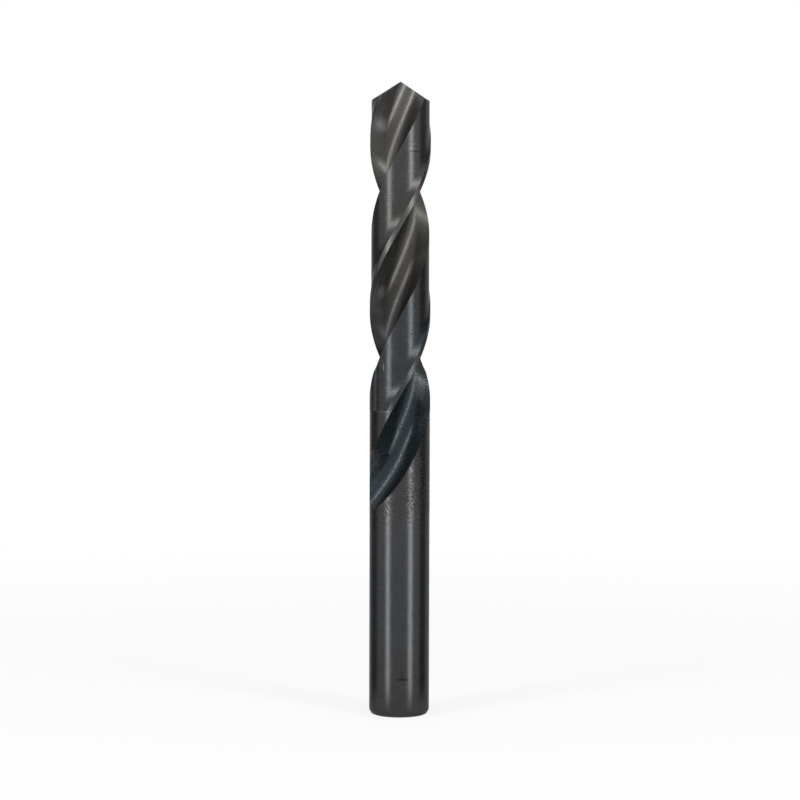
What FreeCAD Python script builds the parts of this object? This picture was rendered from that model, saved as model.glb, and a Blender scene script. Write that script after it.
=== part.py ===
import FreeCAD, Part
import math
import os
import Sketcher

# Twist drill bit of the jobber series: one solid of high-speed steel.
#
# Two right-hand flutes run from a 118 degree point down to the run-out that the flute cutter
# leaves, above a plain cylindrical shank. The bit stands on its shank end, point up, along +Z.
# Angles about the axis are measured from +X towards +Y. In a right-hand bit the cutting edge
# climbs towards rising angles, so each land lies behind its edge, at falling angles.

NODE_NAME = "drill_bit"

# Driving sizes in millimetres and degrees. Lengths that end in _length are along the axis.
DRIVING_SIZES = {
    "overall_length": 198.0,
    "cutting_diameter": 19.0,
    "shank_diameter": 18.85,
    "shank_length": 63.0,
    "shank_blend_length": 1.0,
    "rough_body_diameter": 18.9,
    "chamfer_width": 1.6,
    "chamfer_length": 1.95,
    # Point: each flank is part of a cone whose own axis stands behind and beside the bit's,
    # and leans back about the line of the lip so that the flank falls away behind it
    "point_angle": 118.0,
    "relief_angle": 4.5,
    "cone_back_offset": 2.2,
    "cone_side_offset": 1.8,
    "lip_ahead_of_centre": 1.7,
    # Flutes: right-hand, cut by a disc cutter with a rounded vee profile
    "flute_count": 2,
    "helix_lead": 104.0,
    "full_flute_length": 118.0,
    "web_thickness": 3.6,
    "floor_radius": 4.6,
    "lip_wall_angle": 50.6,
    "heel_wall_angle": 61.6,
    "cutter_radius": 24.0,
    "cutter_setting_angle": 28.0,
    "floor_lead_angle": 50.0,
    # Body clearance: the land behind each margin is ground lower, and stops above the run-out
    "clearance_diameter": 18.17,
    "margin_arc": 1.66,
    "land_angle": 86.6,
    "ground_length": 102.8,
    "full_clearance_length": 88.5,
    # One cutting edge passes this angle at this height above the shank end
    "edge_angle": 180.0,
    "edge_height": 177.7,
}

# What follows from the driving sizes. A tool that cuts past the surface goes this far past it.
DERIVED_SIZES = {
    "past_surface": "Sizes.cutting_diameter * 0.06",
    "turn_per_length": "360 / Sizes.helix_lead",
    "cutting_radius": "Sizes.cutting_diameter / 2",
    "shank_radius": "Sizes.shank_diameter / 2",
    "rough_body_radius": "Sizes.rough_body_diameter / 2",
    "clearance_radius": "Sizes.clearance_diameter / 2",
    "tool_radius": "Derived.cutting_radius + Derived.past_surface",
    "half_web": "Sizes.web_thickness / 2",
    "blank_height": "Sizes.overall_length + Derived.past_surface",
    "run_out_height": "Sizes.overall_length - Sizes.full_flute_length",
    "ground_height": "Sizes.overall_length - Sizes.ground_length",
    "full_clearance_height": "Sizes.overall_length - Sizes.full_clearance_length",
    "cone_slope": "1 / tan(Sizes.point_angle / 2)",
    "cone_distance": "hypot(Sizes.cone_back_offset; Sizes.cone_side_offset)",
    "cone_rise": "Derived.cone_distance * Derived.cone_slope",
    "cone_reach": "2 * Derived.tool_radius",
    "lip_fall_angle": "90 - Sizes.point_angle / 2",
    "corner_fall": "(Derived.cutting_radius + Sizes.cone_back_offset) * Derived.cone_slope",
    "corner_height": "Sizes.overall_length + Derived.cone_rise - Derived.corner_fall",
    "lip_lag_angle": "asin(Sizes.lip_ahead_of_centre / Derived.cutting_radius)",
    "margin_angle": "Sizes.margin_arc / Derived.cutting_radius * 180 / pi",
    "heel_overlap_angle": "Derived.margin_angle / 2",
    "helix_run": "Derived.blank_height + Sizes.helix_lead / 4 - Derived.run_out_height",
    "clearance_run": "Derived.blank_height + Derived.past_surface - Derived.ground_height",
    "strip_run": "Derived.full_clearance_height - Derived.ground_height + Derived.past_surface",
}


def edge_angle_at(height):
    """Return the expression for the angle of the first cutting edge at a height."""
    return f"(Sizes.edge_angle + Derived.turn_per_length * ({height} - Sizes.edge_height))"


def make_sizes(doc):
    """Write the driving sizes into a sheet and bind what follows from them."""
    sheet = doc.addObject("Spreadsheet::Sheet", "Sizes")
    for row, (name, value) in enumerate(DRIVING_SIZES.items(), start=1):
        sheet.set(f"A{row}", name)
        sheet.set(f"B{row}", str(value))
        sheet.setAlias(f"B{row}", name)
    doc.recompute()
    derived = doc.addObject("App::VarSet", "Derived")
    for name, rule in DERIVED_SIZES.items():
        derived.addProperty("App::PropertyFloat", name, "Sizes")
        derived.setExpression(name, rule)
    doc.recompute()


def origin_feature(body, role):
    """Return one of the body's own origin planes or axes."""
    return next(feature for feature in body.Origin.OriginFeatures if feature.Role == role)


def add_sketch(body, name, place):
    """Add a sketch on the body's XY plane, moved and turned by the given expression."""
    sketch = body.newObject("Sketcher::SketchObject", name)
    sketch.AttachmentSupport = (origin_feature(body, "XY_Plane"), [""])
    sketch.MapMode = "FlatFace"
    sketch.setExpression("AttachmentOffset", place)
    sketch.recompute()
    return sketch


def constrain(sketch, rule, *constraint):
    """Add a constraint whose value follows an expression."""
    index = sketch.addConstraint(Sketcher.Constraint(*constraint, float(sketch.evalExpression(rule))))
    sketch.setExpression(f"Constraints[{index}]", rule)


def hold_point(sketch, edge, end, across, up):
    """Hold one end of an edge at a place given by two expressions."""
    constrain(sketch, across, "DistanceX", -1, 1, edge, end)
    constrain(sketch, up, "DistanceY", -1, 1, edge, end)


def vector_at(sketch, across, up):
    """Return the place that two expressions give."""
    return FreeCAD.Vector(float(sketch.evalExpression(across)), float(sketch.evalExpression(up)), 0)


def draw_polygon(sketch, corners):
    """Draw a closed outline through corners that are pairs of expressions."""
    places = [vector_at(sketch, *corner) for corner in corners]
    for index, place in enumerate(places):
        sketch.addGeometry(Part.LineSegment(place, places[(index + 1) % len(places)]), False)
    for index, corner in enumerate(corners):
        sketch.addConstraint(Sketcher.Constraint("Coincident", index, 2, (index + 1) % len(corners), 1))
        hold_point(sketch, index, 1, *corner)


def draw_ring_sector(sketch, inner, outer, start, stop):
    """Draw a sector of a ring between two radii and two angles."""
    def rim(radius, angle):
        return f"{radius} * cos({angle})", f"{radius} * sin({angle})"

    middle = f"(({start} + {stop}) / 2)"
    corners = [rim(outer, start), rim(outer, stop), rim(inner, stop), rim(inner, start)]
    places = [vector_at(sketch, *corner) for corner in corners]
    sketch.addGeometry(Part.Arc(places[0], vector_at(sketch, *rim(outer, middle)), places[1]), False)
    sketch.addGeometry(Part.LineSegment(places[1], places[2]), False)
    sketch.addGeometry(Part.Arc(places[3], vector_at(sketch, *rim(inner, middle)), places[2]), False)
    sketch.addGeometry(Part.LineSegment(places[3], places[0]), False)
    outer_arc, stop_line, inner_arc, start_line = range(4)
    sketch.addConstraint(Sketcher.Constraint("Coincident", outer_arc, 2, stop_line, 1))
    sketch.addConstraint(Sketcher.Constraint("Coincident", stop_line, 2, inner_arc, 2))
    sketch.addConstraint(Sketcher.Constraint("Coincident", inner_arc, 1, start_line, 1))
    sketch.addConstraint(Sketcher.Constraint("Coincident", start_line, 2, outer_arc, 1))
    hold_point(sketch, outer_arc, 1, *corners[0])
    hold_point(sketch, outer_arc, 2, *corners[1])
    hold_point(sketch, inner_arc, 2, *corners[2])
    hold_point(sketch, inner_arc, 1, *corners[3])
    constrain(sketch, outer, "Radius", outer_arc)
    constrain(sketch, inner, "Radius", inner_arc)


def draw_flute(sketch):
    """Draw the cutter's rounded vee, open past the surface, and its spindle as an axis."""
    half_web = vector_at(sketch, "0", "Derived.half_web")
    radius = DRIVING_SIZES["floor_radius"]
    centre = half_web + FreeCAD.Vector(0, radius, 0)
    walls = []
    for side, name in ((1, "lip_wall_angle"), (-1, "heel_wall_angle")):
        slope = math.radians(DRIVING_SIZES[name])
        foot = centre + radius * FreeCAD.Vector(side * math.sin(slope), -math.cos(slope), 0)
        rise = vector_at(sketch, "0", "Derived.tool_radius").y - foot.y
        walls.append((foot, foot + FreeCAD.Vector(side * rise / math.tan(slope), rise, 0)))
    (lip_foot, lip_end), (heel_foot, heel_end) = walls
    sketch.addGeometry(Part.Arc(heel_foot, half_web, lip_foot), False)
    sketch.addGeometry(Part.LineSegment(lip_foot, lip_end), False)
    sketch.addGeometry(Part.LineSegment(lip_end, heel_end), False)
    sketch.addGeometry(Part.LineSegment(heel_end, heel_foot), False)
    spindle = vector_at(sketch, "Sizes.floor_radius", "Derived.half_web + Sizes.cutter_radius")
    sketch.addGeometry(Part.LineSegment(FreeCAD.Vector(0, spindle.y, 0), spindle), True)
    floor, lip_wall, mouth, heel_wall, axis = range(5)
    sketch.addConstraint(Sketcher.Constraint("PointOnObject", floor, 3, -2))
    constrain(sketch, "Derived.half_web + Sizes.floor_radius", "DistanceY", -1, 1, floor, 3)
    constrain(sketch, "Sizes.floor_radius", "Radius", floor)
    sketch.addConstraint(Sketcher.Constraint("Tangent", floor, 2, lip_wall, 1))
    sketch.addConstraint(Sketcher.Constraint("Tangent", heel_wall, 2, floor, 1))
    sketch.addConstraint(Sketcher.Constraint("Coincident", lip_wall, 2, mouth, 1))
    sketch.addConstraint(Sketcher.Constraint("Coincident", mouth, 2, heel_wall, 1))
    sketch.addConstraint(Sketcher.Constraint("Horizontal", mouth))
    constrain(sketch, "Derived.tool_radius", "DistanceY", -1, 1, mouth, 1)
    lip_run = "(Derived.tool_radius - Derived.half_web - Sizes.floor_radius * (1 - cos({0}))) / tan({0})"
    for wall, end, side, name in ((lip_wall, 2, "", "lip"), (heel_wall, 1, "-", "heel")):
        slope = f"Sizes.{name}_wall_angle"
        reach = f"{side}(Sizes.floor_radius * sin({slope}) + {lip_run.format(slope)})"
        constrain(sketch, reach, "DistanceX", -1, 1, wall, end)
    sketch.addConstraint(Sketcher.Constraint("PointOnObject", axis, 1, -2))
    sketch.addConstraint(Sketcher.Constraint("Horizontal", axis))
    constrain(sketch, "Sizes.floor_radius", "DistanceX", -1, 1, axis, 2)
    constrain(sketch, "Derived.half_web + Sizes.cutter_radius", "DistanceY", -1, 1, axis, 2)


def add_feature(body, kind, name, **settings):
    """Add a feature with its settings. Its faces stay as they are cut, without merging."""
    feature = body.newObject(f"PartDesign::{kind}", name)
    feature.Refine = False
    for setting, value in settings.items():
        setattr(feature, setting, value)
    return feature


def repeat_around(body, name, features):
    """Repeat the features once for each flute and make the result the body's tip."""
    pattern = add_feature(body, "PolarPattern", name, Originals=features, Angle=360.0)
    pattern.Axis = (origin_feature(body, "Z_Axis"), [""])
    pattern.setExpression("Occurrences", "Sizes.flute_count")
    body.Tip = pattern
    body.Document.recompute()
    return pattern


def make_blank(body):
    """Turn the bar: chamfered shank end, shank, and the body ground to the cutting size.

    The profile stands on a land where the flutes start, so its seam stays clear of their ends.
    """
    on_land = f"({edge_angle_at('Derived.run_out_height')} - Sizes.land_angle / 4)"
    sketch = add_sketch(body, "BlankProfile", f"placement(vector(0; 0; 0); rotation({on_land}; 0; 90))")
    draw_polygon(sketch, [
        ("0", "0"),
        ("Derived.shank_radius - Sizes.chamfer_width", "0"),
        ("Derived.shank_radius", "Sizes.chamfer_length"),
        ("Derived.shank_radius", "Sizes.shank_length"),
        ("Derived.rough_body_radius", "Sizes.shank_length + Sizes.shank_blend_length"),
        ("Derived.rough_body_radius", "Derived.ground_height"),
        ("Derived.cutting_radius", "Derived.ground_height"),
        ("Derived.cutting_radius", "Derived.blank_height"),
        ("0", "Derived.blank_height"),
    ])
    blank = add_feature(body, "Revolution", "Blank", Profile=sketch, ReferenceAxis=(sketch, ["V_Axis"]))
    blank.Angle = 360.0
    body.Document.recompute()


def add_helical_cut(body, name, sketch, start, run):
    """Sweep a sketch out of the body along a right-hand helix of the bit's lead."""
    path = body.Document.addObject("Part::Helix", f"{name}Path")
    path.setExpression("Pitch", "Sizes.helix_lead")
    path.setExpression("Height", run)
    path.setExpression("Radius", "Derived.cutting_radius")
    path.setExpression("Placement", f"placement(vector(0; 0; {start}); rotation(0; 0; 0))")
    path.recompute()
    cut = add_feature(body, "SubtractivePipe", name, Profile=sketch, Mode="Frenet")
    cut.Spine = (path, [f"Edge{number}" for number in range(1, len(path.Shape.Edges) + 1)])
    body.Document.recompute()
    return cut


def clear_lands(body):
    """Grind each land down behind its margin, leaving a full strip at the heel's lower end."""
    edge = edge_angle_at("Derived.ground_height")
    behind_margin = f"({edge} - Derived.margin_angle)"
    past_heel = f"({edge} - Sizes.land_angle - Derived.heel_overlap_angle)"
    level = "placement(vector(0; 0; Derived.ground_height); rotation(0; 0; 0))"
    relief = add_sketch(body, "ClearanceProfile", level)
    draw_ring_sector(relief, "Derived.clearance_radius", "Derived.tool_radius", past_heel, behind_margin)
    cut = add_helical_cut(body, "Clearance", relief, "Derived.ground_height", "Derived.clearance_run")
    repeat_around(body, "Clearances", [cut])
    strip = add_sketch(body, "HeelStripProfile", level)
    strip_edge = f"({edge_angle_at('Derived.full_clearance_height')} - Sizes.land_angle)"
    inside = "(Derived.clearance_radius - Derived.past_surface)"
    draw_ring_sector(strip, inside, "Derived.cutting_radius", past_heel, strip_edge)
    pad = add_feature(body, "Pad", "HeelStrip", Profile=(strip, [""]))
    pad.setExpression("Length", "Derived.strip_run")
    body.Document.recompute()
    repeat_around(body, "HeelStrips", [pad])


def cut_flutes(body):
    """Mill the flutes with a disc cutter, which leaves its own round at their lower end."""
    facing = f"({edge_angle_at('Derived.run_out_height')} + Sizes.floor_lead_angle - 90)"
    tilt = f"rotation({facing}; -Sizes.cutter_setting_angle; 0)"
    sketch = add_sketch(body, "CutterProfile", f"placement(vector(0; 0; Derived.run_out_height); {tilt})")
    draw_flute(sketch)
    flute = add_helical_cut(body, "Flute", sketch, "Derived.run_out_height", "Derived.helix_run")
    repeat_around(body, "Flutes", [flute])
    run_out = add_feature(body, "Groove", "RunOut", Profile=sketch, ReferenceAxis=(sketch, ["Axis0"]))
    run_out.Angle = 90.0
    body.Document.recompute()
    repeat_around(body, "RunOuts", [run_out])


def grind_point(body):
    """Grind each flank to a cone that passes through the bit's centre and leans back."""
    lip_angle = f"({edge_angle_at('Derived.corner_height')} - Derived.lip_lag_angle)"
    fall, back, rise = "Derived.lip_fall_angle", "Sizes.cone_back_offset", "Derived.cone_rise"
    lean = f"rotation({lip_angle}; {fall}; 90 + Sizes.relief_angle)"
    along = f"-{back} * cos({fall}) - {rise} * sin({fall})"
    above = f"-{back} * sin({fall}) + {rise} * cos({fall})"
    centre = f"placement(vector(0; 0; Sizes.overall_length); {lean})"
    apex = f"placement(vector({along}; {above}; -Sizes.cone_side_offset); rotation({fall}; 0; 0))"
    sketch = add_sketch(body, "FlankProfile", f"{centre} * {apex}")
    draw_polygon(sketch, [
        ("0", "0"),
        ("Derived.cone_reach", "-Derived.cone_reach * Derived.cone_slope"),
        ("Derived.cone_reach", "Derived.tool_radius"),
        ("0", "Derived.tool_radius"),
    ])
    flank = add_feature(body, "Groove", "Flank", Profile=sketch, ReferenceAxis=(sketch, ["V_Axis"]))
    flank.Angle = 360.0
    body.Document.recompute()
    repeat_around(body, "Flanks", [flank])


def check(doc, body):
    """Stop if any object failed to rebuild or the bit isn't one sound solid."""
    for item in doc.Objects:
        if {"Invalid", "Error"} & set(item.State):
            raise RuntimeError(f"{item.Name} did not rebuild: {item.State}")
    shape = body.Shape
    if shape.isNull() or not shape.isValid() or len(shape.Solids) != 1:
        raise RuntimeError(f"{body.Label} is not one sound solid")


def main():
    """Build the bit and write its STEP file."""
    doc = FreeCAD.newDocument("TwistDrillBit")
    make_sizes(doc)
    body = doc.addObject("PartDesign::Body", "DrillBit")
    body.Label = NODE_NAME
    make_blank(body)
    clear_lands(body)
    cut_flutes(body)
    grind_point(body)
    doc.recompute()
    check(doc, body)
    os.makedirs("parts", exist_ok=True)
    body.Shape.exportStep(f"parts/{body.Label}.step")
    print(f"{body.Label}: volume {body.Shape.Volume:.1f} cubic millimetres")


main()
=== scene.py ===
"""Studio scene of a twist drill bit that stands on its shank end, point up.

The bit is one piece of steel. Its mesh starts as a turned bar, and the point, the clearance of
the lands and the flutes are cut out of it.
"""
import logging
import math
from dataclasses import dataclass, field
from enum import Enum

import bmesh
import bpy
from mathutils import Euler, Matrix, Vector


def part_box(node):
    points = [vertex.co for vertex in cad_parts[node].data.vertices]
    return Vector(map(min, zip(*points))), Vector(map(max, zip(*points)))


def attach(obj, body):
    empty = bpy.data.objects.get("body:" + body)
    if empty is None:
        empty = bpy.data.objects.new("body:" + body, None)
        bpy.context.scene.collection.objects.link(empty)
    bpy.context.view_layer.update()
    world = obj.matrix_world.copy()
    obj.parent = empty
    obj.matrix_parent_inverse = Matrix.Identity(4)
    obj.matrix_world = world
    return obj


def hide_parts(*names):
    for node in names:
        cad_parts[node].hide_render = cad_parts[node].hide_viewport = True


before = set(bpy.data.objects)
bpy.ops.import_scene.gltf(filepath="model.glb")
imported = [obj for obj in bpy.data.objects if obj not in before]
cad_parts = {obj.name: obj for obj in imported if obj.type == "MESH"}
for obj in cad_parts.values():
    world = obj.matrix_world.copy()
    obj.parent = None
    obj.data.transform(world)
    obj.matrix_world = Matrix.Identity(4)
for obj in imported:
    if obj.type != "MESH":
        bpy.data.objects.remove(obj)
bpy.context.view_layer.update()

LOG = logging.getLogger("drill_bit")
BIT_NODE = "drill_bit"
BIT_BODY = "root"

MM = 0.001
QUARTER_TURN = math.pi / 2.0
FULL_TURN = 2.0 * math.pi
UP = Vector((0.0, 0.0, 1.0))
ORIGIN = Vector((0.0, 0.0, 0.0))
# How close the points of swept and of turned meshes are to be joined, in metres.
SWEPT_GAP = 1e-8
TURNED_GAP = 1e-7

Triple = tuple[float, float, float]
Stops = tuple[tuple[float, Triple], ...]
MeshParts = list[bmesh.types.BMVert | bmesh.types.BMEdge | bmesh.types.BMFace]
Material = bpy.types.Material
Object = bpy.types.Object
BMesh = bmesh.types.BMesh
Socket = bpy.types.NodeSocket
Value = Socket | float
Colour = Socket | Triple


@dataclass(frozen=True)
class BitSizes:
    """Sizes of the bit in metres and radians, from the frame and the tool's own geometry.

    end_round holds the rounded chamfer of the shank's end, as steps inwards and up in
    millimetres. run_out_turn is how far the bit turned on while the flutes' cutter was lifted,
    in radians per metre of fall below the start of the run-out.
    """

    height: float
    cutting_radius: float
    shank_radius: float = 9.425 * MM
    shank_length: float = 63.0 * MM
    shank_blend: float = 1.0 * MM
    rough_body_radius: float = 9.45 * MM
    clearance_radius: float = 9.085 * MM
    end_round: tuple[tuple[float, float], ...] = (
        (1.475, 0.0), (0.675, 0.36), (0.425, 0.8), (0.125, 1.3), (0.0, 1.95))
    lead: float = 104.0 * MM
    half_web: float = 1.8 * MM
    floor_radius: float = 4.6 * MM
    lip_wall_angle: float = math.radians(50.6)
    heel_wall_angle: float = math.radians(61.6)
    cutter_radius: float = 28.0 * MM
    cutter_setting: float = math.radians(28.0)
    run_out_turn: float = 12.0
    floor_lead_angle: float = math.radians(50.0)
    full_flute_length: float = 118.0 * MM
    ground_length: float = 102.8 * MM
    full_clearance_length: float = 88.5 * MM
    margin_arc: float = 1.66 * MM
    step_round: float = 7.7 * MM
    land_angle: float = math.radians(86.6)
    half_point_angle: float = math.radians(59.0)
    cone_back: float = 2.2 * MM
    cone_side: float = 1.8 * MM
    relief_angle: float = math.radians(4.5)
    lip_ahead: float = 1.7 * MM
    edge_angle: float = math.radians(180.0)
    edge_height: float = 177.7 * MM
    past_surface: float = 1.2 * MM

    @property
    def turn_per_metre(self) -> float:
        """Return how far the flutes turn over a metre of height."""
        return FULL_TURN / self.lead

    @property
    def tool_radius(self) -> float:
        """Return how far out the cutting shapes reach."""
        return self.cutting_radius + self.past_surface

    @property
    def run_out_height(self) -> float:
        """Return the height where the flutes start to run out."""
        return self.height - self.full_flute_length

    @property
    def ground_height(self) -> float:
        """Return the height where the ground part of the body ends."""
        return self.height - self.ground_length

    @property
    def body_height(self) -> float:
        """Return the height where the body starts above the shank."""
        return self.shank_length + self.shank_blend

    @property
    def step_width(self) -> float:
        """Return how wide the hollow round is between the lowered land and the margin."""
        step = self.cutting_radius - self.clearance_radius
        return math.sqrt(step * (2.0 * self.step_round - step))

    @property
    def margin_angle(self) -> float:
        """Return the angle that a margin takes up."""
        return self.margin_arc / self.cutting_radius

    def edge_at(self, height: float) -> float:
        """Return the angle of the first cutting edge at a height."""
        return self.edge_angle + self.turn_per_metre * (height - self.edge_height)


@dataclass(frozen=True)
class Fineness:
    """How many steps each round shape is made of, and the height of a step up the helix."""

    bar_sides: int = 384
    helix_step: float = 0.8 * MM
    floor_points: int = 40
    wall_points: int = 14
    sector_points: int = 40
    hollow_points: int = 9
    run_out_steps: int = 72
    cone_sides: int = 256


def spread(start: float, stop: float, count: int) -> list[float]:
    """Return count evenly spaced values from start to stop.

    Args:
        start: The first value.
        stop: The last value.
        count: How many values, at least two.

    Returns:
        The values in order.
    """
    return [start + (stop - start) * index / (count - 1) for index in range(count)]


def rim_point(radius: float, angle: float, height: float = 0.0) -> Vector:
    """Return the point at a radius, angle and height about the bit's axis."""
    return Vector((radius * math.cos(angle), radius * math.sin(angle), height))


def verts_of(parts: MeshParts) -> list[bmesh.types.BMVert]:
    """Return the vertices among a mesh's parts."""
    return [part for part in parts if isinstance(part, bmesh.types.BMVert)]


def add_outline(mesh: BMesh, points: list[Vector], closed: bool = True) -> MeshParts:
    """Add a line of points to a mesh.

    Args:
        mesh: The mesh to add to.
        points: The outline's points in order.
        closed: Whether the last point joins the first.

    Returns:
        The new vertices and edges.
    """
    verts = [mesh.verts.new(point) for point in points]
    pairs = list(zip(verts, verts[1:] + verts[:1])) if closed else list(zip(verts, verts[1:]))
    return verts + [mesh.edges.new(pair) for pair in pairs]


def turn_outline(outline: list[tuple[float, float]], sides: int) -> BMesh:
    """Turn an outline once round the vertical axis, from pole to pole.

    Args:
        outline: The outline's points, each as a distance from the axis and a height.
        sides: How many steps the turn is made of.

    Returns:
        The closed mesh, with its faces outwards.
    """
    mesh = bmesh.new()
    points = [Vector((out, 0.0, height)) for out, height in outline]
    bmesh.ops.spin(mesh, geom=add_outline(mesh, points, closed=False), cent=ORIGIN, axis=UP,
                   angle=FULL_TURN, steps=sides, use_merge=True)
    bmesh.ops.remove_doubles(mesh, verts=mesh.verts[:], dist=TURNED_GAP)
    bmesh.ops.recalc_face_normals(mesh, faces=mesh.faces[:])
    return mesh


def sweep_screw(mesh: BMesh, outline: MeshParts, sizes: BitSizes,
                run: float, step: float) -> None:
    """Sweep an outline up a right-hand screw of the bit's lead.

    Args:
        mesh: The mesh that holds the outline.
        outline: The outline's vertices and edges.
        sizes: The bit's sizes.
        run: How far up the sweep goes.
        step: The height of one step.
    """
    steps = max(1, round(run / step))
    bmesh.ops.spin(mesh, geom=outline, cent=ORIGIN, axis=UP, dvec=UP * (run / steps),
                   angle=sizes.turn_per_metre * run, steps=steps)


def close_ends(mesh: BMesh) -> None:
    """Fill every open end of a swept mesh and point its faces outwards.

    Args:
        mesh: The mesh, with nothing else in it.
    """
    bmesh.ops.remove_doubles(mesh, verts=mesh.verts[:], dist=SWEPT_GAP)
    open_edges = [edge for edge in mesh.edges if edge.is_boundary]
    bmesh.ops.holes_fill(mesh, edges=open_edges, sides=0)
    bmesh.ops.recalc_face_normals(mesh, faces=mesh.faces[:])


def repeat_opposite(mesh: BMesh) -> None:
    """Copy everything in a mesh half a turn round the bit's axis.

    Args:
        mesh: The mesh.
    """
    whole = mesh.verts[:] + mesh.edges[:] + mesh.faces[:]
    copied = bmesh.ops.duplicate(mesh, geom=whole)["geom"]
    half_turn = Matrix.Rotation(math.pi, 3, "Z")
    bmesh.ops.rotate(mesh, verts=verts_of(copied), cent=ORIGIN, matrix=half_turn)


def mesh_object(name: str, mesh: BMesh, *finishes: Material) -> Object:
    """Turn a bmesh into an object and free the bmesh.

    Args:
        name: The object's name.
        mesh: The mesh to convert.
        finishes: The materials that its faces refer to.

    Returns:
        The new object, in the scene.
    """
    data = bpy.data.meshes.new(name)
    mesh.to_mesh(data)
    mesh.free()
    for finish in finishes:
        data.materials.append(finish)
    data.shade_smooth()
    made = bpy.data.objects.new(name, data)
    bpy.context.scene.collection.objects.link(made)
    return made


def cut_away(target: Object, tool: Object) -> None:
    """Cut a tool's shape out of a target, then delete the tool.

    The cut faces take the tool's material.

    Args:
        target: The object that changes.
        tool: The shape that is removed.
    """
    change = target.modifiers.new("cut", "BOOLEAN")
    change.operation = "DIFFERENCE"
    change.solver = "EXACT"
    change.material_mode = "TRANSFER"
    change.object = tool
    bpy.context.view_layer.update()
    ready = target.evaluated_get(bpy.context.evaluated_depsgraph_get())
    changed = bpy.data.meshes.new_from_object(ready)
    target.modifiers.clear()
    old = target.data
    target.data = changed
    bpy.data.meshes.remove(old)
    LOG.info("%s: %d faces after %s", target.name, len(changed.polygons), tool.name)
    bpy.data.objects.remove(tool)


class Lay(Enum):
    """Which way the fine lines of a surface run."""

    AROUND = "around"
    ALONG_FLUTE = "along the flute"
    PATCHY = "patchy"


@dataclass(frozen=True)
class Mark:
    """A small spot, nick, smudge or patch of painted light at a place on the surface, in
    millimetres.
    """

    place: Triple
    reach: Triple
    tint: Triple
    strength: float = 0.8


@dataclass(frozen=True)
class NoiseScales:
    """How fine each noise is, in cells per metre."""

    drift: float = 70.0
    stain: float = 160.0
    cloud: float = 240.0
    patchy: float = 900.0
    speck: float = 1300.0
    flute_lines: float = 1500.0
    coarse: float = 1900.0
    ragged_edge: float = 2200.0
    wheel_lines: float = 2600.0
    grain: float = 5200.0


SCALES = NoiseScales()


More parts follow.
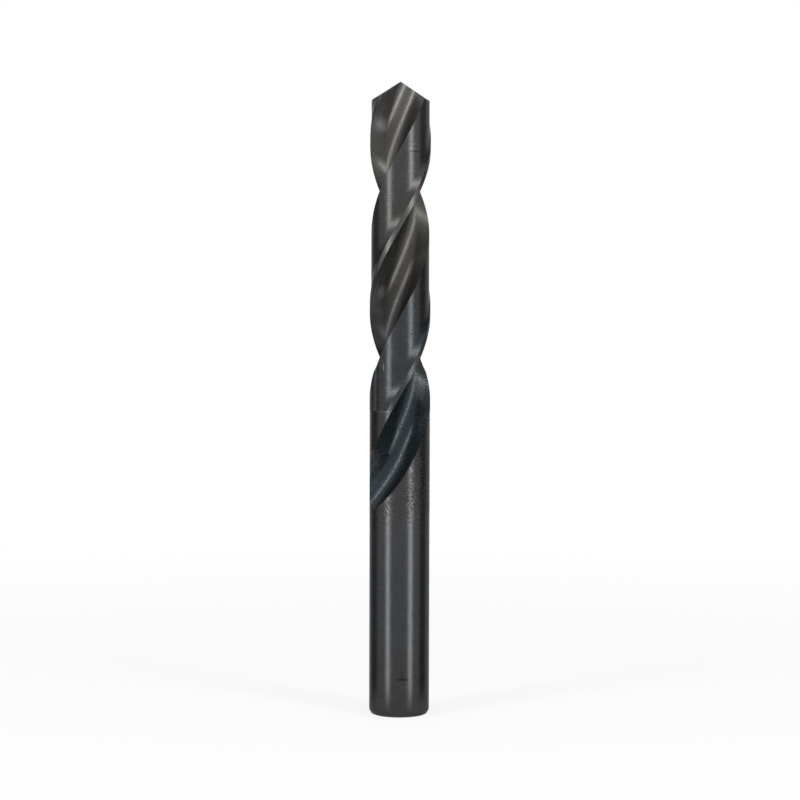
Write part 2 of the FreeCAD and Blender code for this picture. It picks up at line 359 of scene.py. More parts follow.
class NodeBench:
    """The nodes of a material or a world, with the few kinds that are needed here.

    RAMP_TOP is the height in metres that the upper end of a colour ramp stands for, and
    NOISE_MIDDLE the value about which noise swings. RAGGED is how far a mark's edge wanders,
    and MARK_EDGE where it starts and ends, in parts of the mark's reach.
    """

    RAMP_TOP = 0.2
    NOISE_MIDDLE = 0.5
    RAGGED = 1.2
    MARK_EDGE = (1.15, 0.75)

    def __init__(self, owner: bpy.types.ID) -> None:
        """Start on the nodes of a new material or world.

        Args:
            owner: The material or world.
        """
        owner.use_nodes = True
        self.tree = owner.node_tree
        self.coordinates = self.tree.nodes.new("ShaderNodeTexCoord")
        self.place = self.coordinates.outputs["Object"]

    def feed(self, socket: Socket, value: Value | tuple[float, ...]) -> None:
        """Link a socket to another node's output, or write a constant into it.

        Args:
            socket: The input to fill.
            value: The output or the constant.
        """
        if isinstance(value, Socket):
            self.tree.links.new(value, socket)
        else:
            socket.default_value = value

    def maths(self, operation: str, *values: Value) -> Socket:
        """Return the result of a maths node.

        Args:
            operation: The node's operation.
            values: Its inputs, as outputs of other nodes or numbers.

        Returns:
            The node's output.
        """
        node = self.tree.nodes.new("ShaderNodeMath")
        node.operation = operation
        for socket, value in zip(node.inputs, values):
            self.feed(socket, value)
        return node.outputs[0]

    def plus(self, first: Value, second: Value) -> Socket:
        """Return two values added."""
        return self.maths("ADD", first, second)

    def times(self, first: Value, second: Value) -> Socket:
        """Return two values multiplied."""
        return self.maths("MULTIPLY", first, second)

    def swing(self, noise: Socket, amount: Value) -> Socket:
        """Return noise as a swing of an amount about zero."""
        return self.times(self.maths("SUBTRACT", noise, self.NOISE_MIDDLE), amount)

    def ramp(self, value: Socket, start: float, stop: float) -> Socket:
        """Return a smooth change from 0 at start to 1 at stop.

        Args:
            value: What the change follows.
            start: The value up to which the result is 0.
            stop: The value from which it is 1. It may be less than start.

        Returns:
            The result.
        """
        node = self.tree.nodes.new("ShaderNodeMapRange")
        node.interpolation_type = "SMOOTHSTEP"
        low, high = (start, stop) if start < stop else (stop, start)
        limits = (low, high, float(start > stop), float(start < stop))
        for socket, number in zip(node.inputs[1:5], limits):
            socket.default_value = number
        self.feed(node.inputs[0], value)
        return node.outputs[0]

    def split(self, vector: Socket) -> tuple[Socket, ...]:
        """Return a vector's three parts.

        Args:
            vector: The vector.

        Returns:
            Its parts across, deep and up.
        """
        node = self.tree.nodes.new("ShaderNodeSeparateXYZ")
        self.feed(node.inputs[0], vector)
        return tuple(node.outputs)

    def height(self) -> Socket:
        """Return the height above the table."""
        return self.split(self.place)[2]

    def join(self, across: Value, deep: Value, up: Value) -> Socket:
        """Return the vector of three parts.

        Args:
            across: The part across.
            deep: The part away from the camera.
            up: The part up.

        Returns:
            The vector.
        """
        node = self.tree.nodes.new("ShaderNodeCombineXYZ")
        for socket, value in zip(node.inputs, (across, deep, up)):
            self.feed(socket, value)
        return node.outputs[0]

    def noise(self, vector: Socket, scale: float, detail: float = 2.0) -> Socket:
        """Return soft noise between 0 and 1.

        Args:
            vector: The place that the noise depends on.
            scale: How fine it is, in cells per metre.
            detail: How many finer layers it has.

        Returns:
            The noise.
        """
        node = self.tree.nodes.new("ShaderNodeTexNoise")
        node.inputs["Scale"].default_value = scale
        node.inputs["Detail"].default_value = detail
        self.feed(node.inputs["Vector"], vector)
        return node.outputs[0]

    def blend(self, amount: Socket, first: Colour, second: Colour) -> Socket:
        """Return a colour between two colours.

        Args:
            amount: 0 for the first colour and 1 for the second.
            first: The one colour.
            second: The other colour.

        Returns:
            The colour between them.
        """
        node = self.tree.nodes.new("ShaderNodeMix")
        node.data_type = "RGBA"
        self.feed(node.inputs[0], amount)
        for socket, colour in ((node.inputs[6], first), (node.inputs[7], second)):
            linked = isinstance(colour, Socket)
            self.feed(socket, colour if linked else (*colour, 1.0))
        return node.outputs[2]

    def tints(self, height: Socket, stops: Stops) -> Socket:
        """Return the colour at a height.

        Args:
            height: The height in metres.
            stops: Heights in rising order, with the colour at each.

        Returns:
            The colour between the two nearest stops.
        """
        node = self.tree.nodes.new("ShaderNodeValToRGB")
        steps = node.color_ramp.elements
        steps.remove(steps[1])
        steps[0].position = stops[0][0] / self.RAMP_TOP
        steps[0].color = (*stops[0][1], 1.0)
        for at, colour in stops[1:]:
            steps.new(at / self.RAMP_TOP).color = (*colour, 1.0)
        self.feed(node.inputs[0], self.maths("DIVIDE", height, self.RAMP_TOP))
        return node.outputs[0]

    def near(self, mark: Mark) -> Socket:
        """Return 1 on a mark and 0 off it, with a ragged soft edge.

        Args:
            mark: The mark.

        Returns:
            How much of the mark shows.
        """
        away = self.place
        for operation, value in (("SUBTRACT", mark.place), ("DIVIDE", mark.reach)):
            node = self.tree.nodes.new("ShaderNodeVectorMath")
            node.operation = operation
            self.feed(node.inputs[0], away)
            node.inputs[1].default_value = [number * MM for number in value]
            away = node.outputs[0]
        size = self.tree.nodes.new("ShaderNodeVectorMath")
        size.operation = "LENGTH"
        self.feed(size.inputs[0], away)
        ragged = self.swing(self.noise(self.place, SCALES.ragged_edge), self.RAGGED)
        return self.ramp(self.plus(size.outputs["Value"], ragged), *self.MARK_EDGE)

    def unwind(self, sizes: BitSizes) -> Socket:
        """Return the place turned back by the flutes' twist, so that a flute stands still.

        Args:
            sizes: The bit's sizes.

        Returns:
            The turned place.
        """
        node = self.tree.nodes.new("ShaderNodeVectorRotate")
        node.rotation_type = "Z_AXIS"
        self.feed(node.inputs["Vector"], self.place)
        self.feed(node.inputs["Angle"], self.times(self.height(), -sizes.turn_per_metre))
        return node.outputs[0]

    def mix_shaders(self, amount: Value, first: Socket, second: Socket) -> Socket:
        """Return a mix of two shaders.

        Args:
            amount: 0 for the first shader and 1 for the second.
            first: The one shader.
            second: The other shader.

        Returns:
            The mixed shader.
        """
        node = self.tree.nodes.new("ShaderNodeMixShader")
        for socket, value in zip(node.inputs, (amount, first, second)):
            self.feed(socket, value)
        return node.outputs[0]

    def ray(self, *kinds: str) -> Socket:
        """Return 1 for a ray of some kinds, and 0 for the others.

        Args:
            kinds: The names of the kinds.

        Returns:
            The result.
        """
        path = self.tree.nodes.new("ShaderNodeLightPath")
        found = path.outputs[kinds[0]]
        for kind in kinds[1:]:
            found = self.maths("MAXIMUM", found, path.outputs[kind])
        return found

    def bump(self, shader: bpy.types.Node, height: Socket, depth: float) -> None:
        """Raise and lower a shader's surface.

        Args:
            shader: The shader node.
            height: The height field, with values of about 0 to 1.
            depth: How high a value of 1 is, in metres.
        """
        node = self.tree.nodes.new("ShaderNodeBump")
        node.inputs["Strength"].default_value = 1.0
        node.inputs["Distance"].default_value = depth
        self.feed(node.inputs["Height"], height)
        self.feed(shader.inputs["Normal"], node.outputs[0])


@dataclass(frozen=True)
class OxideFinish:
    """Blackened steel: tints that change along the bit, fine lines, grain and a few marks.

    The names in _band are heights or noise values between which something comes in or fades,
    those in _share are parts of a colour, those in _matt are parts of roughness, and those in
    _depth are depths in metres. The coarse grain comes in and fades between the four heights of
    coarse_band, and coarse_above of it is left above them. Some flute tints and some marks are
    painted light and shade, not the steel's own colour.
    """

    name: str
    lay: Lay
    tints: Stops
    stain: Triple
    stain_band: tuple[float, float] = (-0.2, -0.1)
    marks: tuple[Mark, ...] = ()
    bright: Triple = (0.16, 0.16, 0.155)
    tint_drift: float = 0.03
    stain_noise_band: tuple[float, float] = (0.48, 0.72)
    stain_share: float = 0.6
    line_noise_band: tuple[float, float] = (0.5, 0.8)
    line_share: float = 0.1
    speck_noise_band: tuple[float, float] = (0.79, 0.86)
    speck_share: float = 0.7
    speck_matt: float = 0.1
    cloud_matt: float = 0.12
    wheel_stretch: float = 0.08
    flute_stretch: float = 0.05
    roughness: float = 0.24
    line_matt: float = 0.12
    line_depth: float = 0.003 * MM
    grain_depth: float = 0.012 * MM
    coarse_depth: float = 0.055 * MM
    coarse_matt: float = 1.3
    coarse_band: tuple[float, float, float, float] = (0.056, 0.067, 0.080, 0.090)
    coarse_above: float = 0.15
    edge_tint: float = 0.36
    metal: float = 0.7

    def lines(self, bench: NodeBench, sizes: BitSizes) -> Socket:
        """Return the fine lines that the wheel or cutter left.

        Args:
            bench: The material's nodes.
            sizes: The bit's sizes, for the flutes' twist.

        Returns:
            The lines, as noise between 0 and 1.
        """
        if self.lay is Lay.AROUND:
            across, deep, up = bench.split(bench.place)
            stretched = bench.join(bench.times(across, self.wheel_stretch),
                                   bench.times(deep, self.wheel_stretch), up)
            return bench.noise(stretched, SCALES.wheel_lines, detail=1.5)
        if self.lay is Lay.ALONG_FLUTE:
            across, deep, up = bench.split(bench.unwind(sizes))
            stretched = bench.join(across, deep, bench.times(up, self.flute_stretch))
            return bench.noise(stretched, SCALES.flute_lines, detail=3.0)
        return bench.noise(bench.place, SCALES.patchy, detail=3.0)

    def colour(self, bench: NodeBench, sizes: BitSizes) -> Socket:
        """Return the colour, which changes along the bit and in soft patches.

        On the flutes part of the change along the bit is painted light and shade.

        Args:
            bench: The material's nodes.
            sizes: The bit's sizes, which a finish with margins needs.

        Returns:
            The colour before lines, specks and marks.
        """
        height = bench.height()
        drift = bench.swing(bench.noise(bench.place, SCALES.drift), self.tint_drift)
        body = bench.tints(bench.plus(height, drift), self.tints)
        stains = bench.noise(bench.place, SCALES.stain, detail=3.0)
        patches = bench.ramp(stains, *self.stain_noise_band)
        shown = bench.times(bench.ramp(height, *self.stain_band), self.stain_share)
        return bench.blend(bench.times(patches, shown), body, self.stain)

    def marked(self, bench: NodeBench, body: Socket, lines: Socket, specks: Socket) -> Socket:
        """Return a colour with the bright lines, the specks and the marks on it.

        Args:
            bench: The material's nodes.
            body: The colour below them.
            lines: The fine lines.
            specks: 1 on a speck and 0 off it.

        Returns:
            The finished colour.
        """
        shining = bench.times(bench.ramp(lines, *self.line_noise_band), self.line_share)
        body = bench.blend(shining, body, self.bright)
        body = bench.blend(bench.times(specks, self.speck_share), body, self.bright)
        for mark in self.marks:
            body = bench.blend(bench.times(bench.near(mark), mark.strength), body, mark.tint)
        return body

    def coarse_grain(self, bench: NodeBench) -> Socket:
        """Return the coarse grain, which is strongest above the shank.

        Args:
            bench: The material's nodes.

        Returns:
            The grain, as a swing about zero.
        """
        start, full, fade, stop = self.coarse_band
        height = bench.height()
        left = bench.maths("MAXIMUM", bench.ramp(height, stop, fade), self.coarse_above)
        strength = bench.times(bench.ramp(height, start, full), left)
        return bench.swing(bench.noise(bench.place, SCALES.coarse, detail=1.0), strength)

    def material(self, sizes: BitSizes) -> Material:
        """Build the finish's material.

        Args:
            sizes: The bit's sizes, for the flutes' twist.

        Returns:
            The material.
        """
        made = bpy.data.materials.new(self.name)
        bench = NodeBench(made)
        shader = bench.tree.nodes["Principled BSDF"]
        lines = self.lines(bench, sizes)
        dots = bench.noise(bench.place, SCALES.speck, detail=1.0)
        specks = bench.ramp(dots, *self.speck_noise_band)
        coarse = self.coarse_grain(bench)
        grain = bench.noise(bench.place, SCALES.grain)
        clouds = bench.noise(bench.place, SCALES.cloud)
        body = self.marked(bench, self.colour(bench, sizes), lines, specks)
        bench.feed(shader.inputs["Base Color"], body)
        rough = bench.plus(bench.swing(lines, self.line_matt), bench.swing(clouds, self.cloud_matt))
        rough = bench.plus(rough, self.roughness)
        rough = bench.plus(rough, bench.times(coarse, self.coarse_matt))
        rough = bench.plus(rough, bench.times(specks, self.speck_matt))
        bench.feed(shader.inputs["Roughness"], rough)
        relief = bench.plus(lines, bench.times(grain, self.grain_depth / self.line_depth))
        relief = bench.plus(relief, bench.times(coarse, self.coarse_depth / self.line_depth))
        bench.bump(shader, relief, self.line_depth)
        edge = (self.edge_tint, self.edge_tint, self.edge_tint, 1.0)
        shader.inputs["Specular Tint"].default_value = edge
        shader.inputs["Metallic"].default_value = self.metal
        return made


@dataclass(frozen=True)
class GroundFinish(OxideFinish):
    """The ground part of the body, where the wheel left the two narrow margins brighter.

    margin holds the margins' colours along the bit, and margin_share how far the bright strip
    reaches to either side of a margin's middle, in parts of the margin's width.
    """

    margin: Stops = ((0.100, (0.036, 0.040, 0.042)), (0.132, (0.070, 0.069, 0.068)))
    margin_share: float = 0.6

    def colour(self, bench: NodeBench, sizes: BitSizes) -> Socket:
        """Return the oxide's colour with the bright margins.

        Args:
            bench: The material's nodes.
            sizes: The bit's sizes, for the place of the margins.

        Returns:
            The colour before lines, specks and marks.
        """
        body = super().colour(bench, sizes)
        across, deep, _ = bench.split(bench.unwind(sizes))
        middle = sizes.edge_at(0.0) - sizes.margin_angle / 2.0
        facing = bench.plus(bench.times(across, math.cos(middle)),
                            bench.times(deep, math.sin(middle)))
        limit = sizes.cutting_radius * math.cos(sizes.margin_angle * self.margin_share)
        on_margin = bench.maths("GREATER_THAN", bench.maths("ABSOLUTE", facing), limit)
        return bench.blend(on_margin, body, bench.tints(bench.height(), self.margin))


SMUDGE = (0.016, 0.011, 0.010)
NICK = (0.30, 0.29, 0.28)
# Painted highlight: a pale patch that widens the strips' reflection on the lower flute.
PAINTED_HIGHLIGHT = (0.085, 0.088, 0.092)
# Painted light: a teal lightening for the shaded wall at the run-out's lower end.
TEAL_PAINTED_LIGHT = (0.052, 0.068, 0.078)
RED_DUST = (0.20, 0.035, 0.06)
LOW_DUST = Mark((-8.5, -4.0, 82.3), (0.5, 2.0, 0.6), RED_DUST)
HIGH_DUST = Mark((5.05, -7.9, 163.9), (0.28, 2.0, 0.3), RED_DUST, 0.6)

SHANK_TINTS: Stops = (
    (0.0, (0.036, 0.035, 0.037)),
    (0.012, (0.037, 0.036, 0.038)),
    (0.018, (0.037, 0.040, 0.042)),
    (0.040, (0.037, 0.041, 0.045)),
    (0.056, (0.040, 0.043, 0.046)),
    (0.064, (0.041, 0.041, 0.043)),
)
LAND_TINTS: Stops = (
    (0.070, (0.040, 0.040, 0.041)),
    (0.092, (0.036, 0.036, 0.038)),
    (0.101, (0.033, 0.034, 0.038)),
    (0.108, (0.029, 0.034, 0.037)),
    (0.120, (0.029, 0.035, 0.040)),
    (0.136, (0.036, 0.035, 0.034)),
    (0.152, (0.041, 0.040, 0.038)),
    (0.170, (0.050, 0.049, 0.049)),
)
# Colours up the flutes. Part is the oxide's own tone. The darker lower flutes are also painted
# shade, and the lighter stops at the run-out's foot and near the point are painted light.
FLUTE_TINTS_AND_PAINTED_LIGHT: Stops = (
    (0.066, (0.027, 0.034, 0.040)),
    (0.080, (0.026, 0.033, 0.038)),
    (0.094, (0.022, 0.030, 0.034)),
    (0.108, (0.024, 0.029, 0.030)),
    (0.119, (0.027, 0.029, 0.032)),
    (0.127, (0.034, 0.033, 0.033)),
    (0.134, (0.043, 0.041, 0.038)),
    (0.144, (0.054, 0.052, 0.047)),
    (0.166, (0.060, 0.058, 0.052)),
    (0.180, (0.061, 0.059, 0.056)),
    (0.190, (0.088, 0.085, 0.082)),
)
FLANK_TINTS: Stops = ((0.18, (0.040, 0.040, 0.040)),)


class BitFinish(Enum):
    """The finishes of the bit's surfaces."""

    SHANK = OxideFinish(
        "shank_oxide", Lay.AROUND, SHANK_TINTS, stain=(0.046, 0.041, 0.042), roughness=0.23,
        marks=(Mark((1.1, -9.3, 12.0), (1.9, 3.0, 0.4), SMUDGE),
               Mark((0.8, -9.3, 13.5), (0.2, 3.0, 1.0), SMUDGE),
               Mark((4.1, -8.5, 32.3), (0.5, 2.0, 0.4), SMUDGE, 0.4)))
    LAND = OxideFinish(
        "land_oxide", Lay.AROUND, LAND_TINTS, stain=(0.046, 0.045, 0.046),
        marks=(Mark((-5.1, -7.5, 108.9), (0.25, 3.0, 1.0), NICK, 0.3),
               Mark((3.5, -8.4, 176.4), (1.6, 3.0, 0.3), NICK, 0.1),
               Mark((4.2, -8.1, 175.6), (2.2, 3.0, 0.2), SMUDGE, 0.7),
               Mark((3.6, -8.4, 119.2), (0.35, 2.0, 0.3), SMUDGE),
               Mark((-5.3, -7.5, 95.1), (2.0, 3.0, 0.14), NICK, 0.15),
               LOW_DUST, HIGH_DUST))
    MARGIN = GroundFinish(
        "margin_ground", Lay.AROUND, LAND_TINTS, stain=(0.046, 0.045, 0.046), roughness=0.3,
        marks=(HIGH_DUST,))
    FLUTE = OxideFinish(
        "flute_oxide_and_painted_light", Lay.ALONG_FLUTE, FLUTE_TINTS_AND_PAINTED_LIGHT, stain=(0.064, 0.061, 0.057),
        stain_band=(0.085, 0.12), roughness=0.3, line_matt=0.2, coarse_depth=0.015 * MM,
        coarse_matt=0.9, coarse_band=(0.056, 0.067, 0.105, 0.125),
        marks=(LOW_DUST,
               # Painted highlight on the lower flute, where the strip's reflection runs broad.
               Mark((6.4, -4.0, 102.6), (2.4, 7.0, 4.5), PAINTED_HIGHLIGHT, 0.7),
               # Painted light lifting the dark wall at the left of the run-out.
               Mark((-8.0, -4.5, 76.0), (2.6, 4.0, 7.5), TEAL_PAINTED_LIGHT, 0.8)))
    FLANK = OxideFinish(
        "flank_oxide", Lay.PATCHY, FLANK_TINTS, stain=(0.055, 0.052, 0.052), roughness=0.34,
        edge_tint=0.1)

    def material(self, sizes: BitSizes) -> Material:
        """Build this finish's material."""
        return self.value.material(sizes)


@dataclass
class Bar:
    """The turned bar: chamfered shank end, shank, and the body ground to size."""

    sizes: BitSizes
    fineness: Fineness

    def build(self, shank: Material, body: Material, margin: Material) -> Object:
        """Spin the bar's outline about its axis.

        Args:
            shank: The material of the shank.
            body: The material of the body below the ground part.
            margin: The material of the ground part.

        Returns:
            The bar.
        """
        sizes = self.sizes
        top = sizes.height + sizes.past_surface
        outline = [
            (0.0, 0.0),
            *((sizes.shank_radius - inward * MM, up * MM) for inward, up in sizes.end_round),
            (sizes.shank_radius, sizes.shank_length),
            (sizes.rough_body_radius, sizes.body_height),
            (sizes.rough_body_radius, sizes.ground_height),
            (sizes.cutting_radius, sizes.ground_height),
            (sizes.cutting_radius, top),
            (0.0, top),
        ]
        mesh = turn_outline(outline, self.fineness.bar_sides)
        for face in mesh.faces:
            middle = face.calc_center_median().z
            above = (middle > sizes.body_height, middle > sizes.ground_height)
            face.material_index = sum(above)
        return mesh_object("bar", mesh, shank, body, margin)


@dataclass
class LandClearance:
    """The lowered part of each land behind its margin, with the full strip at the heel's end.

    strip_lean is the angle over which the strip's outer face falls to the lowered land.
    """

    sizes: BitSizes
    fineness: Fineness
    strip_lean: float = 0.12

    def sector(self, inner: float, outer: float, start: float, stop: float,
               height: float) -> list[Vector]:
        """Return the outline of a ring sector.

        Args:
            inner: The radius of its inner arc.
            outer: The radius of its outer arc.
            start: The angle of its one end.
            stop: The angle of its other end.
            height: The height of the outline.

        Returns:
            The points of the outer arc from start to stop, then those of the inner arc back.
        """
        angles = spread(start, stop, self.fineness.sector_points)
        outside = [rim_point(outer, angle, height) for angle in angles]
        inside = [rim_point(inner, angle, height) for angle in reversed(angles)]
        return outside + inside

    def hollow(self, stop: float, height: float) -> list[Vector]:
        """Return the hollow round from the margin's back edge down to the lowered land.

        Args:
            stop: The angle of the margin's back edge.
            height: The height of the outline.

        Returns:
            The round's points, without the last one on the lowered land.
        """
        sizes = self.sizes
        points = []
        for left in spread(sizes.step_width, 0.0, self.fineness.hollow_points)[:-1]:
            rise = sizes.step_round - math.sqrt(sizes.step_round ** 2 - left ** 2)
            along = (sizes.step_width - left) / sizes.clearance_radius
            points.append(rim_point(sizes.clearance_radius + rise, stop - along, height))
        return points

    def strips(self, finish: Material) -> Object:
        """Build the wedges that the clearance leaves standing at the heels' lower ends.

        Args:
            finish: The material of the wedges' sides.

        Returns:
            Both wedges, as one shape to keep out of the clearance.
        """
        sizes = self.sizes
        low, high = sizes.ground_height, sizes.height - sizes.full_clearance_length
        start = sizes.edge_at(low) - sizes.land_angle - sizes.margin_angle
        stop = sizes.edge_at(high) - sizes.land_angle
        crest = stop - self.strip_lean
        base = low - sizes.past_surface
        points = self.sector(sizes.clearance_radius - sizes.past_surface,
                             sizes.tool_radius + sizes.past_surface, start, crest, base)
        half = self.fineness.sector_points
        points[half:half] = [rim_point(sizes.cutting_radius, crest, base),
                             rim_point(sizes.clearance_radius, stop, base)]
        mesh = bmesh.new()
        face = mesh.faces.new([mesh.verts.new(point) for point in points])
        raised = bmesh.ops.extrude_face_region(mesh, geom=[face], use_keep_orig=True)["geom"]
        rise = UP * (high - low + 2.0 * sizes.past_surface)
        bmesh.ops.translate(mesh, verts=verts_of(raised), vec=rise)
        bmesh.ops.recalc_face_normals(mesh, faces=mesh.faces[:])
        repeat_opposite(mesh)
        return mesh_object("heel_strips", mesh, finish)

    def build(self, finish: Material) -> Object:
        """Sweep the ring sector behind each margin and leave out the heel strips.

        Args:
            finish: The material of the lowered lands.

        Returns:
            The shape to remove.
        """
        sizes = self.sizes
        low = sizes.ground_height
        start = sizes.edge_at(low) - sizes.land_angle - sizes.margin_angle / 2.0
        stop = sizes.edge_at(low) - sizes.margin_angle
        foot = stop - sizes.step_width / sizes.clearance_radius
        points = self.sector(sizes.clearance_radius, sizes.tool_radius, start, foot, low)
        half = self.fineness.sector_points
        points[half:half] = [rim_point(sizes.tool_radius, stop, low), *self.hollow(stop, low)]
        run = sizes.height + 2.0 * sizes.past_surface - low
        mesh = bmesh.new()
        sweep_screw(mesh, add_outline(mesh, points), sizes, run, self.fineness.helix_step)
        close_ends(mesh)
        repeat_opposite(mesh)
        tool = mesh_object("clearance", mesh, finish)
        cut_away(tool, self.strips(finish))
        return tool


@dataclass
class FluteCut:
    """The helical flutes, and the run-out that the disc cutter leaves at their lower end."""

    sizes: BitSizes
    fineness: Fineness

    def wall(self, foot: tuple[float, float], slope: float) -> list[tuple[float, float]]:
        """Return one straight wall of the cutter's vee, without its foot.

        Args:
            foot: Where the wall meets the floor's round.
            slope: How far out the wall goes per distance across.

        Returns:
            The wall's points from the foot outwards.
        """
        across, out = foot
        run_out = self.sizes.tool_radius - out
        end = across + run_out / slope
        shares = spread(0.0, 1.0, self.fineness.wall_points)[1:]
        return [(across + (end - across) * share, out + run_out * share) for share in shares]

    def profile(self) -> list[tuple[float, float]]:
        """Return the cutter's rounded vee.

        Returns:
            Its points, as distances across the cutter and out from the bit's axis.
        """
        sizes = self.sizes
        centre = sizes.half_web + sizes.floor_radius
        angles = spread(-sizes.heel_wall_angle, sizes.lip_wall_angle, self.fineness.floor_points)
        floor = [(sizes.floor_radius * math.sin(angle),
                  centre - sizes.floor_radius * math.cos(angle)) for angle in angles]
        lip = self.wall(floor[-1], math.tan(sizes.lip_wall_angle))
        heel = self.wall(floor[0], -math.tan(sizes.heel_wall_angle))
        return floor + lip + heel[::-1]

    def run_out(self, mesh: BMesh, outline: MeshParts, place: Matrix) -> None:
        """Sweep the profile down about the cutter's spindle, and turn it on with the bit.

        Args:
            mesh: The mesh that holds the profile.
            outline: The profile's vertices and edges.
            place: The profile's place and direction.
        """
        sizes = self.sizes
        others = set(mesh.verts)
        spindle = place @ Vector((0.0, sizes.half_web + sizes.cutter_radius, 0.0))
        across = place.to_3x3() @ Vector((1.0, 0.0, 0.0))
        bmesh.ops.spin(mesh, geom=outline, cent=spindle, axis=across, angle=QUARTER_TURN,
                       steps=self.fineness.run_out_steps)
        level = place.inverted()
        for vert in set(mesh.verts) - others:
            fall = (level @ vert.co).z
            vert.co = Matrix.Rotation(sizes.run_out_turn * fall, 3, "Z") @ vert.co

    def build(self, finish: Material) -> Object:
        """Sweep the profile up the helix past the point, and down through the run-out.

        Args:
            finish: The material of the flutes.

        Returns:
            The shape to remove.
        """
        sizes = self.sizes
        base = sizes.run_out_height
        facing = sizes.edge_at(base) + sizes.floor_lead_angle
        leaning = Matrix.Rotation(-sizes.cutter_setting, 4, "Y")
        turned = Matrix.Rotation(facing - QUARTER_TURN, 4, "Z") @ leaning
        place = Matrix.Translation(UP * base) @ turned
        mesh = bmesh.new()
        points = [place @ Vector((across, out, 0.0)) for across, out in self.profile()]
        outline = add_outline(mesh, points)
        run = sizes.height + sizes.lead / 4.0 - base
        sweep_screw(mesh, outline, sizes, run, self.fineness.helix_step)
        self.run_out(mesh, outline, place)
        close_ends(mesh)
        repeat_opposite(mesh)
        return mesh_object("flutes", mesh, finish)


@dataclass
class PointGrind:
    """The two conical flanks of the point, one for each turn about the bit's axis."""

    sizes: BitSizes
    fineness: Fineness
    turns: tuple[float, ...] = (0.0, math.pi)

    def build(self, finish: Material, turn: float) -> Object:
        """Build what lies outside one flank's cone.

        Args:
            finish: The material of the flank.
            turn: The flank's turn about the bit's axis.

        Returns:
            The shape to remove.
        """
        sizes = self.sizes
        slope = 1.0 / math.tan(sizes.half_point_angle)
        rise = math.hypot(sizes.cone_back, sizes.cone_side) * slope
        corner = sizes.height + rise - (sizes.cutting_radius + sizes.cone_back) * slope
        ahead = math.asin(sizes.lip_ahead / sizes.cutting_radius)
        lip = sizes.edge_at(corner) - ahead + turn
        reach = 2.0 * sizes.tool_radius
        outline = [(0.0, 0.0), (reach, -reach * slope), (reach, sizes.tool_radius),
                   (0.0, sizes.tool_radius)]
        mesh = turn_outline(outline, self.fineness.cone_sides)
        fall = QUARTER_TURN - sizes.half_point_angle
        lip_line = Matrix.Rotation(lip, 4, "Z") @ Matrix.Rotation(fall, 4, "Y")
        relieved = lip_line @ Matrix.Rotation(sizes.relief_angle, 4, "X")
        tilt = relieved @ Matrix.Rotation(-fall, 4, "Y")
        offset = Matrix.Translation((-sizes.cone_back, sizes.cone_side, rise))
        place = Matrix.Translation(UP * sizes.height) @ tilt @ offset
        bmesh.ops.transform(mesh, matrix=place, verts=mesh.verts[:])
        return mesh_object("flank", mesh, finish)


@dataclass
class DrillBit:
    """The whole bit, made by cutting the bar. Edges sharper than sharp_angle stay crisp."""

    sizes: BitSizes
    fineness: Fineness = field(default_factory=Fineness)
    sharp_angle: float = math.radians(15.0)

    def build(self) -> Object:
        """Cut the bar to the finished bit and join it to the frame.

        Returns:
            The bit.
        """
        shank, land, margin, flute, flank = (finish.material(self.sizes) for finish in BitFinish)
        bit = Bar(self.sizes, self.fineness).build(shank, land, margin)
        point = PointGrind(self.sizes, self.fineness)
        for turn in point.turns:
            cut_away(bit, point.build(flank, turn))
        cut_away(bit, LandClearance(self.sizes, self.fineness).build(land))
        cut_away(bit, FluteCut(self.sizes, self.fineness).build(flute))
        bit.name = "bit_steel"
        bit.data.name = "bit_steel"
        bit.data.shade_smooth()
        bit.data.set_sharp_from_angle(angle=self.sharp_angle)
        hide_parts(BIT_NODE)
        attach(bit, BIT_BODY)
        LOG.info("%s: %d faces", bit.name, len(bit.data.polygons))
        return bit


@dataclass(frozen=True)
class Strip:
    """A tall soft light, at an angle about the bit measured from the camera."""

    name: str
    angle: float
    distance: float = 0.5
    width: float = 0.12
    foot: float = -0.25
    top: float = 1.1
    radiance: float = 7.3


@dataclass(frozen=True)
class Flag:
    """A dark upright flag that the steel mirrors, at an angle measured from the camera.

    level is how bright it is, softness how soft its sides are, and top how high it reaches,
    with top_softness for the sine of that angle.
    """

    angle: float
    width: float
    level: float
    softness: float = math.radians(1.0)
    top: float = math.radians(35.0)
    top_softness: float = 0.05


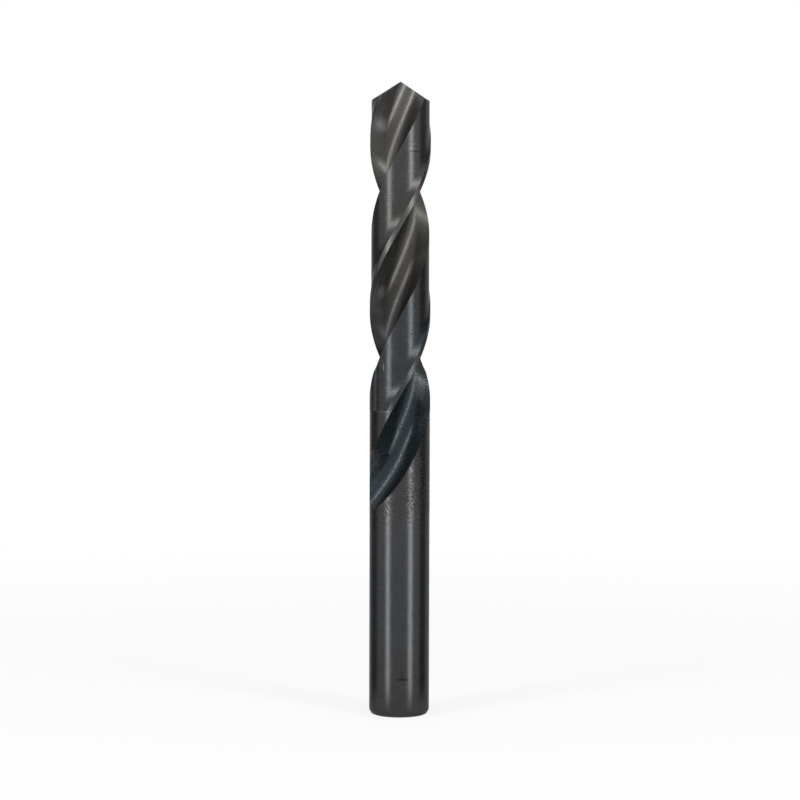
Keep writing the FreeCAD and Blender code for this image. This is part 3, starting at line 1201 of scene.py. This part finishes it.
@dataclass
class Studio:
    """Floor, pale surround, two tall soft lights and the camera.

    The steel mirrors the floor only within table_radius of the bit, and there less from
    table_core of that radius on. The floor turns to white between table_radius and glow_radius.
    """

    camera_distance: float = 673.0 * MM
    camera_height: float = 114.0 * MM
    aim_height: float = 98.55 * MM
    frame_height: float = 250.7 * MM
    sensor_width: float = 36.0
    roll: float = math.radians(-0.16)
    strips: tuple[Strip, ...] = (Strip("strip_left", math.radians(-44.7)),
                                 Strip("strip_right", math.radians(42.7)))
    flags: tuple[Flag, ...] = (Flag(math.radians(-113.5), math.radians(39.0), level=0.1),
                               Flag(math.radians(101.5), math.radians(35.0), level=0.0))
    surround_level: float = 0.55
    floor_size: float = 6.0
    floor_white: float = 0.86
    floor_roughness: float = 0.9
    floor_glow: float = 0.8
    table_radius: float = 0.047
    table_core: float = 0.25
    glow_radius: float = 0.6

    def paper(self) -> Material:
        """Build the floor's material.

        Returns:
            A pale paper that fades to white away from the bit.
        """
        made = bpy.data.materials.new("floor_paper")
        bench = NodeBench(made)
        shader = bench.tree.nodes["Principled BSDF"]
        pale = (self.floor_white, self.floor_white, self.floor_white, 1.0)
        shader.inputs["Base Color"].default_value = pale
        shader.inputs["Roughness"].default_value = self.floor_roughness
        glow = bench.tree.nodes.new("ShaderNodeEmission")
        open_air = bench.tree.nodes.new("ShaderNodeBsdfTransparent")
        across, deep, _ = bench.split(bench.place)
        squares = bench.plus(bench.maths("POWER", across, 2.0), bench.maths("POWER", deep, 2.0))
        away = bench.maths("SQRT", squares)
        outside = bench.ramp(away, self.table_radius, self.glow_radius)
        strength = bench.plus(bench.times(outside, 1.0 - self.floor_glow), self.floor_glow)
        white = bench.times(bench.ray("Is Camera Ray", "Is Glossy Ray"), strength)
        lit = bench.mix_shaders(white, shader.outputs[0], glow.outputs[0])
        past_edge = bench.ramp(away, self.table_radius * self.table_core, self.table_radius)
        beyond = bench.times(bench.ray("Is Glossy Ray"), past_edge)
        seen = bench.mix_shaders(beyond, lit, open_air.outputs[0])
        bench.feed(bench.tree.nodes["Material Output"].inputs["Surface"], seen)
        return made

    def floor(self) -> None:
        """Lay a plain pale floor that keeps the bit's shadow."""
        mesh = bmesh.new()
        bmesh.ops.create_grid(mesh, x_segments=1, y_segments=1, size=self.floor_size)
        mesh_object("floor", mesh, self.paper())

    def stand_strip(self, strip: Strip) -> None:
        """Stand a tall soft light beside the table, with its lower end below the table's top.

        Args:
            strip: The light's size, place and strength.
        """
        lamp = bpy.data.lights.new(strip.name, "AREA")
        lamp.shape = "RECTANGLE"
        lamp.size = strip.width
        lamp.size_y = strip.top - strip.foot
        lamp.energy = strip.radiance * math.pi * lamp.size * lamp.size_y
        made = bpy.data.objects.new(strip.name, lamp)
        away = Vector((math.sin(strip.angle), -math.cos(strip.angle), 0.0))
        made.location = away * strip.distance + UP * (strip.top + strip.foot) / 2.0
        made.rotation_euler = (-away).to_track_quat("-Z", "Y").to_euler()
        bpy.context.scene.collection.objects.link(made)

    def past_flag(self, bench: NodeBench, turn: Socket, up: Socket, flag: Flag) -> Socket:
        """Return how bright the surround is with one flag in front of it.

        Args:
            bench: The world's nodes.
            turn: The angle about the bit, measured from the camera.
            up: The sine of the angle above the horizon.
            flag: The flag.

        Returns:
            The flag's level on it, and 1 beside and above it.
        """
        half, edge = flag.width / 2.0, math.sin(flag.top)
        off = bench.maths("ABSOLUTE", bench.maths("SUBTRACT", turn, flag.angle))
        beside = bench.ramp(off, half - flag.softness, half + flag.softness)
        above = bench.ramp(up, edge - flag.top_softness, edge + flag.top_softness)
        clear = bench.maths("MAXIMUM", beside, above)
        return bench.plus(bench.times(clear, 1.0 - flag.level), flag.level)

    def world(self) -> None:
        """Surround the scene with white, and with two dark flags that only the steel mirrors."""
        world = bpy.data.worlds.new("surround")
        bpy.context.scene.world = world
        bench = NodeBench(world)
        across, deep, up = bench.split(bench.coordinates.outputs["Generated"])
        turn = bench.maths("ARCTAN2", across, bench.times(deep, -1.0))
        mirrored = bench.ray("Is Glossy Ray")
        for flag in self.flags:
            mirrored = bench.times(mirrored, self.past_flag(bench, turn, up, flag))
        seen = bench.maths("MAXIMUM", bench.ray("Is Camera Ray"), mirrored)
        unseen = bench.maths("SUBTRACT", 1.0, bench.ray("Is Camera Ray", "Is Glossy Ray"))
        strength = bench.plus(seen, bench.times(unseen, self.surround_level))
        background = bench.tree.nodes["Background"]
        background.inputs["Color"].default_value = (1.0, 1.0, 1.0, 1.0)
        bench.feed(background.inputs["Strength"], strength)

    def camera(self) -> None:
        """Set the camera where the photograph was taken from."""
        data = bpy.data.cameras.new("camera")
        data.sensor_width = self.sensor_width
        data.sensor_fit = "HORIZONTAL"
        data.lens = data.sensor_width * self.camera_distance / self.frame_height
        made = bpy.data.objects.new("camera", data)
        made.location = (0.0, -self.camera_distance, self.camera_height)
        tilt = math.atan2(self.camera_height - self.aim_height, self.camera_distance)
        made.rotation_euler = Euler((QUARTER_TURN - tilt, self.roll, 0.0))
        bpy.context.scene.collection.objects.link(made)
        bpy.context.scene.camera = made

    def build(self) -> None:
        """Set up the whole studio."""
        self.floor()
        for strip in self.strips:
            self.stand_strip(strip)
        self.world()
        self.camera()
        bpy.context.scene.view_settings.view_transform = "Standard"


def main() -> None:
    """Build the bit and its studio."""
    logging.basicConfig(level=logging.INFO, format="%(name)s: %(message)s")
    low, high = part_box(BIT_NODE)
    sizes = BitSizes(height=high[2] - low[2], cutting_radius=(high[0] - low[0]) / 2.0)
    DrillBit(sizes).build()
    Studio().build()


if __name__ == "__main__":
    main()
